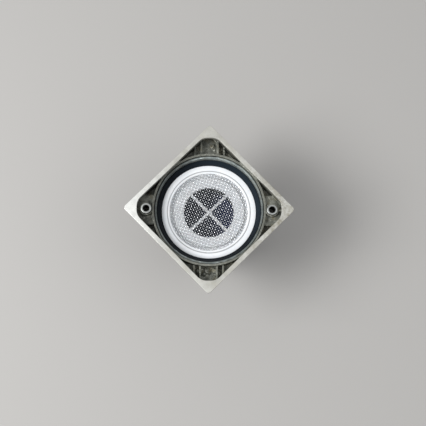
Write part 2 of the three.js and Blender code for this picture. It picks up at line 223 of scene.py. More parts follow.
def lofted(profiles, closed=True):
    """A mesh through profiles that stand at even angles about Z, all with as many points."""
    bm = bmesh.new()
    poles = {}
    grid = []
    for k, profile in enumerate(profiles):
        angle = 2 * math.pi * k / len(profiles)
        column = []
        for i, (radius, height) in enumerate(profile):
            if radius > 1e-6:
                vertex = bm.verts.new((radius * math.cos(angle), radius * math.sin(angle), height))
            else:
                vertex = poles[i] if i in poles else bm.verts.new((0, 0, height))
                poles[i] = vertex
            column.append(vertex)
        grid.append(column)
    count = len(profiles[0])
    for k, here in enumerate(grid):
        there = grid[(k + 1) % len(grid)]
        for i in range(count if closed else count - 1):
            j = (i + 1) % count
            corners = list(dict.fromkeys([here[i], there[i], there[j], here[j]]))
            if len(corners) > 2:
                bm.faces.new(corners)
    bmesh.ops.recalc_face_normals(bm, faces=bm.faces)
    mesh = bpy.data.meshes.new("turned")
    bm.to_mesh(mesh)
    bm.free()
    return mesh


def thread(low, high, pitch, root, crest, angle, steps=8):
    """Points up a screw thread at one angle about its axis. The thread fades out at both ends."""
    count = round((high - low) / pitch * steps)
    points = []
    for i in range(count + 1):
        rise = (high - low) * i / count
        phase = (rise / pitch - angle / (2 * math.pi)) % 1
        fade = min(1, rise / pitch, (high - low - rise) / pitch)
        points.append((root + (crest - root) * abs(2 * phase - 1) * fade, low + rise))
    return points


def threaded(section, segments=64):
    """A mesh from a profile that changes with the angle about Z."""
    profiles = [section(2 * math.pi * k / segments) for k in range(segments)]
    return lofted(profiles, closed=not is_open(profiles[0]))


def dome(radius, foot, height, steps=8):
    """Points over a dome, from its edge to the axis."""
    turns = [math.pi / 2 * i / steps for i in range(steps + 1)]
    return [(radius * math.cos(t), foot + height * math.sin(t)) for t in turns[:-1]] + [(0, foot + height)]


def rod(radius, start, end, edge=0.3 * MM, segments=48):
    """A round rod along Y with eased ends."""
    mesh = turned(rounded([(0, start), (radius, start), (radius, end), (0, end)], edge), segments)
    return moved(mesh, ALONG_Y)


# ---- Plates and wires ----

def slab(outlines, low, high, edge):
    """A plate between two heights with rounded edges. The second and later outlines are holes."""
    curve = bpy.data.curves.new("slab", "CURVE")
    curve.dimensions = "2D"
    curve.fill_mode = "BOTH"
    for outline_points in outlines:
        add_path(curve, [(x, y, 0) for x, y in outline_points], closed=True)
    curve.extrude = (high - low) / 2 - edge
    curve.bevel_depth = edge
    curve.bevel_resolution = 3
    curve.offset = -edge
    carrier = bpy.data.objects.new("carrier", curve)
    bpy.context.scene.collection.objects.link(carrier)
    mesh = baked(carrier)
    bm = bmesh.new()
    bm.from_mesh(mesh)
    bmesh.ops.remove_doubles(bm, verts=bm.verts, dist=1e-6)
    bmesh.ops.recalc_face_normals(bm, faces=bm.faces)
    bm.to_mesh(mesh)
    bm.free()
    return moved(mesh, Matrix.Translation((0, 0, (low + high) / 2)))


def add_path(curve, points, closed=False):
    spline = curve.splines.new("POLY")
    spline.points.add(len(points) - 1)
    for target, point in zip(spline.points, points):
        target.co = (*point, 1)
    spline.use_cyclic_u = closed


def wires(paths, radius):
    """Round wires along paths."""
    curve = bpy.data.curves.new("wires", "CURVE")
    curve.dimensions = "3D"
    for points in paths:
        add_path(curve, points)
    curve.bevel_depth = radius
    curve.bevel_resolution = 2
    curve.use_fill_caps = True
    carrier = bpy.data.objects.new("carrier", curve)
    bpy.context.scene.collection.objects.link(carrier)
    return baked(carrier)


def arc(center, radius, start, end, steps=8):
    """Points along an arc, with angles in degrees."""
    angles = [math.radians(start + (end - start) * i / steps) for i in range(steps + 1)]
    return [(center[0] + radius * math.cos(a), center[1] + radius * math.sin(a)) for a in angles]


def rounded_square(half, radius):
    inner = half - radius
    signs = [(1, 1), (-1, 1), (-1, -1), (1, -1)]
    points = []
    for quarter, (x, y) in enumerate(signs):
        start = 90 * quarter
        points += arc((x * inner, y * inner), radius, start, start + 90)
    return points


def eased(corners, ease, steps=8):
    """A closed path through corners that are rounded by cutting each side short by its ease."""
    points = []
    for i, corner in enumerate(corners):
        here = Vector(corner)
        start = here + (Vector(corners[i - 1]) - here).normalized() * ease
        end = here + (Vector(corners[(i + 1) % len(corners)]) - here).normalized() * ease
        for step in range(steps + 1):
            t = step / steps
            points.append(tuple((1 - t) ** 2 * start + 2 * t * (1 - t) * here + t * t * end))
    return points


# ---- Materials ----

class Paint:
    """A node material in the making. Its positions are in metres, as the piece stands at rest."""

    def __init__(self, name, color, roughness, metallic=0.0):
        self.material = bpy.data.materials.new(name)
        self.material.use_nodes = True
        self.tree = self.material.node_tree
        self.shader = self.tree.nodes["Principled BSDF"]
        self.shader.inputs["Base Color"].default_value = (*color, 1)
        self.shader.inputs["Roughness"].default_value = roughness
        self.shader.inputs["Metallic"].default_value = metallic
        self.place = self.tree.nodes.new("ShaderNodeTexCoord").outputs["Object"]

    def node(self, kind, settings=(), inputs=()):
        made = self.tree.nodes.new(kind)
        for key, value in dict(settings).items():
            setattr(made, key, value)
        for key, value in dict(inputs).items():
            if isinstance(value, bpy.types.NodeSocket):
                self.tree.links.new(value, made.inputs[key])
            else:
                made.inputs[key].default_value = value
        return made

    def noise(self, size, detail=4, rough=0.55, stretch=(1, 1, 1)):
        """Noise from 0 to 1 whose features are about this size, in metres."""
        place = self.node("ShaderNodeMapping", inputs={"Vector": self.place, "Scale": stretch})
        inputs = {"Vector": place.outputs[0], "Scale": 1 / size, "Detail": detail, "Roughness": rough}
        return self.node("ShaderNodeTexNoise", inputs=inputs).outputs["Fac"]

    def ramp(self, value, stops):
        """Colours or greys over a value, as (place, grey or colour) pairs."""
        made = self.node("ShaderNodeValToRGB", inputs={"Fac": value})
        elements = made.color_ramp.elements
        while len(elements) < len(stops):
            elements.new(0.5)
        for element, (where, shade) in zip(elements, stops):
            element.position = where
            element.color = (*shade, 1) if isinstance(shade, tuple) else (shade, shade, shade, 1)
        return made.outputs["Color"]

    def mix(self, factor, first, second, blend="MIX"):
        made = self.node("ShaderNodeMix", {"data_type": "RGBA", "blend_type": blend})
        for key, value in ((0, factor), (6, first), (7, second)):
            socket = made.inputs[key]
            if isinstance(value, bpy.types.NodeSocket):
                self.tree.links.new(value, socket)
            elif key == 0:
                socket.default_value = value
            else:
                socket.default_value = (*value, 1)
        return made.outputs[2]

    def math(self, operation, first, second):
        made = self.node("ShaderNodeMath", {"operation": operation}, {0: first, 1: second})
        return made.outputs[0]

    def rise(self, value, low, high, top=1.0):
        """Rises from 0 to a top as a value goes from low to high. High may be the smaller of the two."""
        inputs = {"Value": value, "From Min": low, "From Max": high, "To Max": top}
        return self.node("ShaderNodeMapRange", {"clamp": True}, inputs).outputs["Result"]

    def part(self, axis):
        """One coordinate of the place, in metres."""
        return self.node("ShaderNodeSeparateXYZ", inputs={0: self.place}).outputs[axis]

    def from_axis(self):
        """Distance from the Z axis, in metres."""
        flat = self.node("ShaderNodeVectorMath", {"operation": "MULTIPLY"}, {0: self.place, 1: (1, 1, 0)})
        length = self.node("ShaderNodeVectorMath", {"operation": "LENGTH"}, {0: flat.outputs[0]})
        return length.outputs["Value"]

    def edges(self, low, high):
        """Rises from 0 to 1 on raised edges."""
        point = self.node("ShaderNodeNewGeometry").outputs["Pointiness"]
        return self.ramp(point, [(low, 0.0), (high, 1.0)])

    def specks(self, spacing, radius, share):
        """Small round spots, in this share of the cells of a grid with this spacing."""
        cells = self.node("ShaderNodeTexVoronoi", inputs={"Vector": self.place, "Scale": 1 / spacing})
        full, gone = radius / spacing, 1.4 * radius / spacing
        spot = self.ramp(cells.outputs["Distance"], [(full, 1.0), (gone, 0.0)])
        chosen = self.ramp(cells.outputs["Color"], [(share, 1.0), (share + 0.001, 0.0)])
        return self.mix(1.0, spot, chosen, "MULTIPLY")

    def color(self, socket):
        self.tree.links.new(socket, self.shader.inputs["Base Color"])

    def roughness(self, value, low, high):
        shades = self.ramp(value, [(0.3, low), (0.7, high)])
        self.tree.links.new(shades, self.shader.inputs["Roughness"])

    def bump(self, height, distance, strength=1.0):
        """Relief of about this depth, in metres, over any relief already there."""
        inputs = {"Height": height, "Distance": distance, "Strength": strength}
        made = self.node("ShaderNodeBump", inputs=inputs)
        earlier = self.shader.inputs["Normal"].links
        if earlier:
            self.tree.links.new(earlier[0].from_socket, made.inputs["Normal"])
        self.tree.links.new(made.outputs[0], self.shader.inputs["Normal"])


# ---- The finishes ----

def rim_metal():
    """Cream nickel bronze, ground flat and worn, with a painted highlight at one corner and dirt with
    painted shade towards the opposite one.
    """
    paint = Paint("rim_metal", (0.7, 0.68, 0.62), 0.4, 0.55)
    cloud = paint.noise(22 * MM, 5)
    shades = [(0.3, (0.46, 0.445, 0.39)), (0.5, (0.56, 0.55, 0.50)), (0.7, (0.64, 0.635, 0.595))]
    color = paint.ramp(cloud, shades)
    across = paint.math("MULTIPLY", paint.math("ADD", paint.part(0), paint.part(1)), 1 / SIDE)
    # Painted highlight: paler towards the -X -Y corner, where the metal reflects the light.
    lightened = paint.ramp(paint.math("MULTIPLY", across, -1.0), [(0.4, 0.0), (0.95, 1.0)])
    color = paint.mix(lightened, color, (0.86, 0.86, 0.82))
    stain = paint.ramp(paint.noise(7 * MM, 6, 0.65), [(0.42, 0.0), (0.66, 1.0)])
    # Dirt and painted shade: the stains darken more towards the +X +Y corner.
    right = paint.ramp(across, [(0.2, 0.08), (0.95, 0.85)])
    grime_and_painted_shade = paint.mix(1.0, stain, right, "MULTIPLY")
    color = paint.mix(grime_and_painted_shade, color, (0.24, 0.215, 0.15))
    fleck = paint.ramp(paint.noise(1.4 * MM, 3), [(0.60, 0.0), (0.72, 0.6)])
    color = paint.mix(fleck, color, (0.30, 0.28, 0.22))
    paint.color(color)
    paint.roughness(paint.noise(9 * MM, 5), 0.30, 0.52)
    paint.bump(paint.noise(0.9 * MM, 3), 0.02 * MM)
    paint.bump(paint.noise(2.4 * MM, 3, stretch=(1, 12, 1)), 0.01 * MM, 0.5)
    return paint.material


def cast_metal(name, light, dark, brown, sand=0.9 * MM, collar=None, wall=None, painted_light_gain=None):
    """A dull sand-cast surface, stained in patches, worn lighter on its edges, with painted shade towards
    one corner.

    Sand is the size of its grain. A collar is a radius within which it is drawn to a plain, lighter grey. A
    wall is a distance from the middle, along X or Y, beyond which its colour is nearly even, and within
    which old mortar has left a pale crust and dark pits. The last argument says how much brighter its +Y
    side is painted, as painted light.
    """
    paint = Paint(name, light, 0.5, 0.5)
    cloud = paint.noise(11 * MM, 6, 0.6)
    color = paint.ramp(cloud, [(0.34, dark), (0.64, light)])
    stain = paint.ramp(paint.noise(6 * MM, 5, 0.6), [(0.5, 0.0), (0.66, 0.8)])
    color = paint.mix(stain, color, brown)
    fine = paint.ramp(paint.noise(1.4 * MM, 3), [(0.35, 0.72), (0.65, 1.0)])
    color = paint.mix(1.0, color, fine, "MULTIPLY")
    if collar:
        lightened = paint.rise(paint.from_axis(), collar, collar - 0.4 * MM, 0.7)
        color = paint.mix(lightened, color, tuple(0.6 * c for c in light))
    if wall:
        crust = paint.ramp(paint.noise(3.4 * MM, 5, 0.65), [(0.57, 0.0), (0.66, 0.75)])
        color = paint.mix(crust, color, (0.44, 0.44, 0.38))
        pit = paint.ramp(paint.noise(2.6 * MM, 4, 0.6, stretch=(1.3, 1, 1)), [(0.30, 0.85), (0.42, 0.0)])
        color = paint.mix(pit, color, tuple(0.4 * c for c in dark))
        sides = [paint.math("ABSOLUTE", paint.part(axis), 0.0) for axis in (0, 1)]
        outside = paint.rise(paint.math("MAXIMUM", *sides), wall, wall + MM, 0.75)
        middle = tuple((a + b) / 2.4 for a, b in zip(light, dark))
        color = paint.mix(outside, color, middle)
    bright = tuple(min(1, 1.7 * c + 0.05) for c in light)
    color = paint.mix(paint.edges(0.52, 0.60), color, bright)
    # Painted light: the +Y side is lit brighter.
    if painted_light_gain:
        sideways = paint.math("MULTIPLY", paint.part(0), -0.4)
        onwards = paint.math("MULTIPLY", paint.part(1), 0.9)
        lightened = paint.rise(paint.math("ADD", sideways, onwards), 38 * MM, 60 * MM)
        color = paint.mix(lightened, color, (painted_light_gain, painted_light_gain, painted_light_gain), "MULTIPLY")
    # Painted shade: darker towards -X, and less so towards -Y, where the frame's walls keep the light off.
    east = paint.math("MULTIPLY", paint.part(0), 0.90 / SIDE)
    north = paint.math("MULTIPLY", paint.part(1), 0.43 / SIDE)
    along = paint.math("ADD", paint.math("ADD", east, north), 0.5)
    color = paint.mix(1.0, color, paint.ramp(along, [(0.06, 0.5), (0.30, 1.0)]), "MULTIPLY")
    paint.color(color)
    paint.roughness(paint.noise(5 * MM, 4), 0.34, 0.62)
    paint.bump(paint.noise(sand, 4, 0.6), 0.12 * MM, 0.7)
    paint.bump(paint.noise(5 * MM, 3), 0.35 * MM, 0.5)
    return paint.material


def coated_iron():
    """Black dipped coating over sand-cast iron."""
    paint = Paint("coated_iron", (0.05, 0.054, 0.06), 0.45, 0.2)
    cloud = paint.noise(16 * MM, 5)
    color = paint.ramp(cloud, [(0.25, (0.040, 0.044, 0.050)), (0.75, (0.060, 0.064, 0.070))])
    rust = paint.ramp(paint.noise(9 * MM, 6, 0.7), [(0.66, 0.0), (0.78, 0.45)])
    color = paint.mix(rust, color, (0.16, 0.075, 0.035))
    color = paint.mix(paint.edges(0.52, 0.62), color, (0.16, 0.165, 0.17))
    paint.color(color)
    paint.roughness(paint.noise(4 * MM, 4), 0.32, 0.6)
    paint.bump(paint.noise(1.3 * MM, 4, 0.6), 0.18 * MM, 0.8)
    paint.bump(paint.noise(7 * MM, 2), 0.3 * MM, 0.4)
    return paint.material


def rubber(name, color, painted_light_tint, toward):
    """Satin moulded rubber with a faint bloom, and painted light: a paler colour that grows towards one
    side, given as (x, y).
    """
    paint = Paint(name, color, 0.5)
    paint.shader.inputs["Specular IOR Level"].default_value = 0.08
    bloom = paint.ramp(paint.noise(8 * MM, 5), [(0.4, 0.0), (0.75, 0.4)])
    pale = tuple(2 * c + 0.005 for c in color)
    shade = paint.mix(bloom, color, pale)
    # Painted light: a paler colour grows towards the given side, where the light falls.
    parts = [paint.math("MULTIPLY", paint.part(axis), toward[axis] / SIDE) for axis in (0, 1)]
    shade = paint.mix(paint.ramp(paint.math("ADD", *parts), [(0.0, 0.0), (0.3, 1.0)]), shade, painted_light_tint)
    paint.color(shade)
    paint.roughness(paint.noise(3 * MM, 4), 0.4, 0.6)
    paint.bump(paint.noise(0.5 * MM, 2), 0.015 * MM)
    return paint.material


SEAMS = ((44.3 * MM, 45.0 * MM), (51.3 * MM, 52.4 * MM))  # radii of the insert's seams, which are coloured darker


def white_plastic(name, filmed_and_shaded=False):
    """Glossy white moulded plastic, slightly marked, darker along its seams, and with painted shade greying
    its outer edge on one side.

    Filmed and shaded plastic is stained dark inside, where water runs: a film of dirt that also stands in
    for the shade deep in the trap.
    """
    paint = Paint(name, (0.88, 0.89, 0.89), 0.3)
    cloud = paint.noise(20 * MM, 4)
    color = paint.ramp(cloud, [(0.35, (0.84, 0.86, 0.88)), (0.65, (0.91, 0.915, 0.915))])
    dirt = paint.ramp(paint.noise(2.2 * MM, 5, 0.7), [(0.66, 0.0), (0.8, 0.5)])
    color = paint.mix(dirt, color, (0.50, 0.48, 0.44))
    color = paint.mix(paint.specks(9 * MM, 0.5 * MM, 0.25), color, (0.10, 0.09, 0.08))
    # The flange's outer edge, greyed below as painted shade.
    outer = paint.rise(paint.from_axis(), 55 * MM, 59 * MM, 0.55)
    ease = 0.5 * MM
    for low, high in SEAMS:
        inner = paint.rise(paint.from_axis(), low - ease, low, 0.6)
        seam = paint.math("MULTIPLY", inner, paint.rise(paint.from_axis(), high + ease, high))
        color = paint.mix(seam, color, (0.36, 0.37, 0.37))
    # Painted shade: the flange's outer edge greys on the -Y side, in the shade of the seal's lip.
    near = paint.ramp(paint.math("MULTIPLY", paint.part(1), -1 / SIDE), [(0.0, 0.3), (0.3, 1.0)])
    color = paint.mix(paint.math("MULTIPLY", outer, near), color, (0.42, 0.44, 0.46))
    if filmed_and_shaded:
        # Dirt film and painted shade: dark nearer the axis than 44 mm, below the mesh.
        inside = paint.rise(paint.from_axis(), 44.5 * MM, 44 * MM)
        film_and_shade_tones = [(0.3, (0.02, 0.023, 0.021)), (0.7, (0.07, 0.078, 0.072))]
        color = paint.mix(inside, color, paint.ramp(paint.noise(14 * MM, 5), film_and_shade_tones))
    paint.color(color)
    paint.roughness(paint.noise(6 * MM, 4), 0.24, 0.42)
    paint.bump(paint.noise(1.1 * MM, 2), 0.01 * MM)
    paint.shader.inputs["Subsurface Weight"].default_value = 0.08
    paint.shader.inputs["Subsurface Radius"].default_value = (1.2 * MM, 1.0 * MM, 0.9 * MM)
    return paint.material


def bright_steel(name, color, rough, dirt_and_shade_below=None, dirt=(0.05, 0.05, 0.045), painted_light_beyond=None):
    """Plated or stainless steel, dulled in patches, and dark below a height range if one is given, from
    dirt and painted shade.

    Beyond a radius, if one is given, that dark is paler, as painted light bounced up from below.
    """
    paint = Paint(name, color, rough, 0.9)
    dull = paint.ramp(paint.noise(3 * MM, 5), [(0.4, 0.0), (0.7, 0.6)])
    shade = paint.mix(dull, color, tuple(0.72 * c for c in color))
    if dirt_and_shade_below:
        # Painted light: beyond the radius the dark is paler, lit from the white plate below.
        if painted_light_beyond:
            painted_bounce_light = paint.rise(paint.from_axis(), painted_light_beyond, painted_light_beyond + 2 * MM)
            dirt = paint.mix(painted_bounce_light, dirt, (0.34, 0.35, 0.36))
        # Dirt and painted shade below the height range.
        low, high = dirt_and_shade_below
        shade = paint.mix(paint.rise(paint.part(2), low, high), dirt, shade)
    paint.color(shade)
    paint.roughness(paint.noise(1.6 * MM, 4), rough - 0.08, rough + 0.14)
    paint.bump(paint.noise(0.6 * MM, 3), 0.01 * MM)
    return paint.material


def turned_brass():
    paint = Paint("turned_brass", (0.56, 0.40, 0.17), 0.32, 1.0)
    tarnish = paint.ramp(paint.noise(5 * MM, 5), [(0.45, 0.0), (0.7, 0.8)])
    paint.color(paint.mix(tarnish, (0.60, 0.43, 0.18), (0.26, 0.17, 0.07)))
    paint.roughness(paint.noise(2 * MM, 3), 0.25, 0.45)
    paint.bump(paint.noise(0.8 * MM, 2, stretch=(1, 20, 1)), 0.02 * MM)
    return paint.material


RIM = rim_metal()
CASTING = cast_metal(
    "frame_casting", (0.30, 0.305, 0.26), (0.045, 0.049, 0.04), (0.19, 0.17, 0.11),
    sand=0.7 * MM, collar=COLLAR_OUTER + 0.1 * MM, wall=INNER_HALF + MM,
)
# Its +Y side is painted lighter, as painted light.
RING = cast_metal("riser_casting", (0.25, 0.275, 0.265), (0.12, 0.14, 0.135), (0.18, 0.18, 0.145), painted_light_gain=1.7)
IRON = coated_iron()
SEAL = rubber("seal_rubber", (0.0025, 0.0045, 0.007), (0.013, 0.020, 0.027), (0, 1))
FLAP_RUBBER = rubber("flap_rubber", (0.004, 0.008, 0.026), (0.012, 0.03, 0.14), (1, 1))
WHITE = white_plastic("white_plastic")
FILMED_AND_SHADED = white_plastic("filmed_and_shaded_plastic", filmed_and_shaded=True)
MESH_MIDDLE = (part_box("strainer_mesh")[0][2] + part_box("strainer_mesh")[1][2]) / 2
KNUCKLES = (MESH_MIDDLE + 0.24 * MM, MESH_MIDDLE + 0.52 * MM)  # heights between which the wires go from dark, with dirt and painted shade, to clean
# Dark under the knuckles from dirt and painted shade; paler beyond the opening, as painted light from the
# white plate.
WIRE = bright_steel(
    "mesh_wire", (0.92, 0.93, 0.95), 0.3,
    dirt_and_shade_below=KNUCKLES, dirt=(0.040, 0.045, 0.055), painted_light_beyond=31 * MM,
)
STEEL = bright_steel("zinc_steel", (0.66, 0.67, 0.67), 0.3)
# Dark down its tapped bore, from dirt and painted shade.
SLEEVE = bright_steel("sleeve_steel", (0.46, 0.47, 0.45), 0.36, dirt_and_shade_below=(TOP - 6 * MM, TOP - 4.3 * MM))
DULL_STEEL = bright_steel("dull_steel", (0.09, 0.095, 0.10), 0.4)
BRASS = turned_brass()


# ---- Pieces ----

BODIES = {node: body for body, nodes in frame["record"]["behaviour"]["bodies"].items() for node in nodes}


def stand_for(node, mesh, material, name=None):
    """Adds a mesh as the visible form of a CAD node, on the node's body and in its material slot."""
    mesh.materials.append(material)
    return add(name or node + "_made", mesh, BODIES[node], node)


def turn_cad(node, material, edge, profile=None):
    """A turned CAD node, made again fully round and with rounded edges."""
    mesh = turned(rounded(profile or outline(node), edge))
    return even_normals(stand_for(node, mesh, material))


def united(first, *others):
    """One closed mesh round all of these."""
    return reduced("UNION", first, others)


def without(first, *others):
    """What is left of a mesh when others are cut away."""
    return reduced("DIFFERENCE", first, others)


def reduced(operation, first, others):
    for other in others:
        tool = bpy.data.objects.new("tool", other)
        bpy.context.scene.collection.objects.link(tool)
        first = applied(first, ("BOOLEAN", {"operation": operation, "object": tool, "solver": "EXACT"}))
        bpy.data.objects.remove(tool)
    return first


def cast_from(mesh, voxel, relief, relief_size):
    """A casting's skin: the mesh with soft edges and a low, uneven relief."""
    texture = bpy.data.textures.new("relief", "CLOUDS")
    texture.noise_scale = relief_size
    texture.noise_depth = 2
    displace = {"texture": texture, "strength": relief, "texture_coords": "LOCAL"}
    return applied(
        mesh,
        ("REMESH", {"mode": "VOXEL", "voxel_size": voxel}),
        ("SMOOTH", {"factor": 0.5, "iterations": 3}),
        ("DISPLACE", displace),
    )


def without_facets(mesh, chosen=lambda point: True):
    """Moves the chosen points of faceted round walls out to the true circle."""
    step = 2 * math.pi / FACETS
    for vertex in mesh.vertices:
        if chosen(vertex.co):
            off_middle = math.atan2(vertex.co.y, vertex.co.x) % step - step / 2
            grow = math.cos(off_middle) / math.cos(step / 2)
            vertex.co.x *= grow
            vertex.co.y *= grow
    return mesh


# ---- Frame ----

RIM_FOOT = TOP - 6 * MM
RIM_EDGE = 0.4 * MM
CORNER_REACH = 89.4 * MM  # from the middle to the straight cuts across the opening's corners
CORNER_EASE = 7 * MM
FLOOR_TOP = TOP - 21 * MM
DIAGONAL = math.pi / 4


def rim_opening():
    """The rim's inner edge: a square whose corners are cut straight across."""
    half = INNER_HALF
    short = CORNER_REACH * math.sqrt(2) - half
    corners = []
    for turn in range(4):
        rotation = Matrix.Rotation(turn * math.pi / 2, 2)
        corners += [rotation @ Vector((half, short)), rotation @ Vector((short, half))]
    return eased(corners, CORNER_EASE)


def lower_casting():
    """The casting's walls, floor, ribs and bosses, below the rim."""
    bm = bmesh.new()
    bmesh.ops.create_cube(bm, size=1)
    bm.transform(Matrix.Translation((0, 0, RIM_FOOT + SIDE)) @ Matrix.Scale(2 * SIDE, 4))
    above = bpy.data.meshes.new("above")
    bm.to_mesh(above)
    bm.free()
    return without(cad_mesh("frame"), above)


def lump(place, size, seed):
    """A crumb of old mortar."""
    unevenness = 0.45
    flatness = 0.7
    bm = bmesh.new()
    bmesh.ops.create_icosphere(bm, subdivisions=3, radius=size)
    for vertex in bm.verts:
        vertex.co *= 1 + unevenness * noise.noise(vertex.co / size * 1.1 + Vector((seed, 0, 0)))
        vertex.co.z *= flatness
        vertex.co += Vector(place)
    mesh = bpy.data.meshes.new("lump")
    bm.to_mesh(mesh)
    bm.free()
    return mesh


# Each corner with mortar: its angle, how many crumbs it holds and how far they spread sideways, in mm.
MORTAR = ((-DIAGONAL, 15, (-15, 15)), (3 * DIAGONAL, 8, (-17, -4)))


def mortar():
    """Crumbs of old mortar in the two corners that hold no screw, each a mesh."""
    draw = random.Random(4)
    nearest, farthest, taper = 71.5, 86, 0.4
    crumbs = []
    for angle, count, spread in MORTAR:
        along = Vector((math.cos(angle), math.sin(angle), 0))
        across = Vector((-math.sin(angle), math.cos(angle), 0))
        for _ in range(count):
            side = draw.uniform(*spread) * MM
            out = draw.uniform(nearest, farthest - abs(side) / MM * taper) * MM
            place = along * out + across * side + Vector((0, 0, FLOOR_TOP))
            crumbs.append(lump(place, draw.uniform(1.2, 3.4) * MM, draw.uniform(0, 50)))
    return crumbs


def build_frame():
    solid = merged(lower_casting(), *mortar())
    casting = cast_from(solid, voxel=0.5 * MM, relief=0.3 * MM, relief_size=4 * MM)
    casting = without_facets(casting, lambda p: Vector((p.x, p.y)).length < COLLAR_OUTER + 0.2 * MM)
    stand_for("frame", casting, CASTING, name="frame_casting")
    sunk = 0.3 * MM
    rim = slab([rounded_square(SIDE / 2, 4 * MM), rim_opening()], RIM_FOOT - sunk, TOP, RIM_EDGE)
    rim.materials.append(RIM)
    even_normals(add("frame_rim", rim, "top_frame"))


def build_sleeves():
    """Tapped sleeves for the cover screws."""
    for side in ("right", "left"):
        node = "screw_sleeve_" + side
        low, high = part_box(node)
        outer = (high[0] - low[0]) / 2
        height = high[2] - low[2]
        edge = 0.9 * MM
        mouth = 4.7 * MM
        root = mouth - 0.3 * MM
        crest = 3.9 * MM
        pitch = 1.25 * MM
        per_corner = CORNER_STEPS + 1

        def section(angle):
            walls = rounded([(mouth, 0), (outer, 0), (outer, height), (mouth, height)], edge)
            flank = thread(0, height, pitch, root, crest, angle)
            return walls[per_corner:-per_corner] + [(mouth, height)] + flank[::-1] + [(mouth, 0)]

        middle = ((low[0] + high[0]) / 2, (low[1] + high[1]) / 2, low[2])
        stand_for(node, moved(threaded(section), Matrix.Translation(middle)), SLEEVE)


build_frame()
build_sleeves()


# ---- Riser ----

turn_cad("riser", RING, 0.6 * MM)
turn_cad("sealing_ring", SEAL, 0.5 * MM)
turn_cad("frame_gasket", SEAL, 0.4 * MM)


# ---- Drain body ----

SCREW_CIRCLE = 61.5 * MM
HEAD_TOP = TOP - 37.9 * MM
CONE_FOOT = TOP - 40.4 * MM
HEAD = 4.6 * MM  # radius
SHANK = 2.5 * MM  # radius
SOCKET = 3 * MM  # across flats


def hexagon(across, angle):
    """How far a hexagon's edge is from its middle, given its width across flats."""
    turn = angle % (math.pi / 3) - math.pi / 6
    return across / 2 / math.cos(turn)


def build_retainer():
    """The ring that holds the lip seal down, with four countersunk holes."""
    clearance = 0.3 * MM
    narrow, wide = SHANK + clearance, HEAD + clearance
    below, above = HEAD_TOP - 20 * MM, HEAD_TOP + 5 * MM
    plate = turned(rounded(outline("seal_retainer"), 0.5 * MM))
    hole = [(0, below), (narrow, below), (narrow, CONE_FOOT), (wide, HEAD_TOP), (wide, above), (0, above)]
    holes = [moved(turned(hole, 48), screw_place(turn)) for turn in range(4)]
    even_normals(stand_for("seal_retainer", without(plate, *holes), IRON))


def screw_place(turn):
    angle = DIAGONAL + turn * math.pi / 2
    return Matrix.Translation((SCREW_CIRCLE * math.cos(angle), SCREW_CIRCLE * math.sin(angle), 0))


def build_screws():
    """Countersunk screws with a hexagon socket."""
    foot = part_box("retainer_screw_1")[0][2]
    round_off = 0.25 * MM
    pitch = 0.8 * MM
    root = SHANK - 0.45 * MM

    def section(angle):
        shank = thread(foot + round_off, CONE_FOOT - MM, pitch, root, SHANK, angle)
        head = [
            (SHANK, CONE_FOOT), (HEAD, HEAD_TOP - round_off), (HEAD, HEAD_TOP - round_off / 3),
            (HEAD - round_off, HEAD_TOP),
        ]
        socket = hexagon(SOCKET, angle)
        well = [(socket, HEAD_TOP), (socket, HEAD_TOP - 2 * MM), (0, HEAD_TOP - 2.4 * MM)]
        return [(0, foot), (SHANK - 2 * round_off, foot)] + shank + head + well

    for turn in range(4):
        screw = moved(threaded(section, 48), screw_place(turn))
        even_normals(stand_for(f"retainer_screw_{turn + 1}", screw, STEEL))


def build_plug():
    """The brass plug of the side port: a hexagon head on a threaded shank."""
    low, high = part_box("primer_plug")
    across = 17 * MM
    head_foot = 66.9 * MM
    shank = 6.2 * MM
    root = shank - 0.8 * MM
    pitch = 1.4 * MM
    flat = 0.48 * across
    tip, end = low[1], high[1]
    floor = end - 0.5 * MM

    def section(angle):
        corner = hexagon(across, angle)
        lowered = (corner - flat) * math.tan(math.pi / 6)
        stem = thread(tip + 0.3 * MM, head_foot - 1.6 * MM, pitch, root, shank, angle)
        neck = [(root, head_foot)]
        rim = [(flat, head_foot), (corner, head_foot + lowered), (corner, end - lowered), (flat, end)]
        recess = [(0.3 * across, end), (0.27 * across, floor), (0, floor)]
        return [(0, tip), (shank - 1.2 * MM, tip)] + stem + neck + rim + recess

    height = (low[2] + high[2]) / 2
    plug = moved(threaded(section, 96), Matrix.Translation((0, 0, height)) @ ALONG_Y)
    even_normals(stand_for("primer_plug", plug, BRASS))


def build_body():
    """The cast body, kept from reaching below the floor it stands on."""
    body = cast_from(cad_mesh("drain_body"), voxel=0.9 * MM, relief=0.5 * MM, relief_size=5 * MM)
    for vertex in body.vertices:
        vertex.co.z = max(vertex.co.z, 0)
    stand_for("drain_body", without_facets(body), IRON)


build_body()
turn_cad("lip_seal", SEAL, 0.4 * MM)
build_retainer()
build_screws()
build_plug()


# ---- Trap insert and strainer ----

def woven_disc(radius, pitch, wire, height, turn):
    """Wires woven over and under each other in a round disc."""
    sway = wire * 0.52
    steps = 4
    count = int(radius / pitch)
    paths = []
    for side in (0, 1):
        for i in range(-count, count + 1):
            offset = i * pitch
            reach = math.sqrt(max(radius**2 - offset**2, 0))
            if reach < 2 * pitch:
                continue
            ends = int(reach / pitch * steps)
            points = []
            for j in range(-ends, ends + 1):
                along = j * pitch / steps
                phase = math.pi * (along / pitch + i + side)
                points.append((along, offset, height + sway * math.cos(phase)))
            rotation = Matrix.Rotation(turn + side * math.pi / 2, 3, "Z")
            paths.append([tuple(rotation @ Vector(p)) for p in points])
    return wires(paths, wire / 2)


MESH_PITCH = 2.65 * MM
MESH_WIRE = 0.54 * MM
MESH_TURN = math.radians(-17.6)


